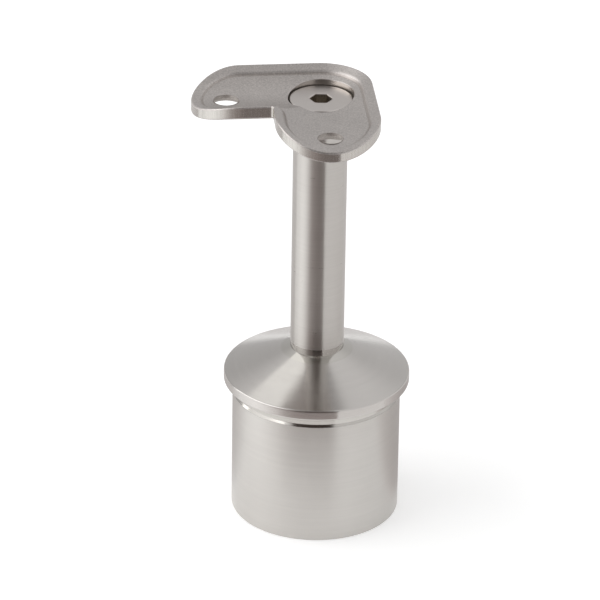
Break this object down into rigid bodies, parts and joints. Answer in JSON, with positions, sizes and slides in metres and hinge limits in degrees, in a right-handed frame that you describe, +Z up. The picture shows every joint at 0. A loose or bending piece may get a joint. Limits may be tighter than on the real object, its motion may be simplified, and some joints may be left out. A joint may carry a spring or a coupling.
{
  "type": "handrail bracket",
  "caption": "Corner handrail bracket: an L-shaped curved saddle screwed to a round stem, above a conical post cap with a hollow spigot that plugs into a round post.",
  "frame": {"origin": "on the stem axis at the lower end of the spigot", "axes": "+Z up along the stem, from the spigot to the saddle; the saddle's two arms point to -X-Y and +X-Y, so the YZ plane is the bracket's plane of symmetry and the outer corner points to +Y"},
  "size_m": [0.0542, 0.0514, 0.121],
  "materials": {
    "satin_cap": "turned and satin brushed",
    "satin_stem": "turned and satin brushed",
    "matt_saddle": "matt blasted floor, cut edges",
    "plain_screw": "plain, fine turned face"
  },
  "bodies": {
    "root": {"post_cap": "satin_cap", "stem": "satin_stem", "saddle_plate": "matt_saddle", "saddle_screw": "plain_screw"}
  },
  "joints": []
}
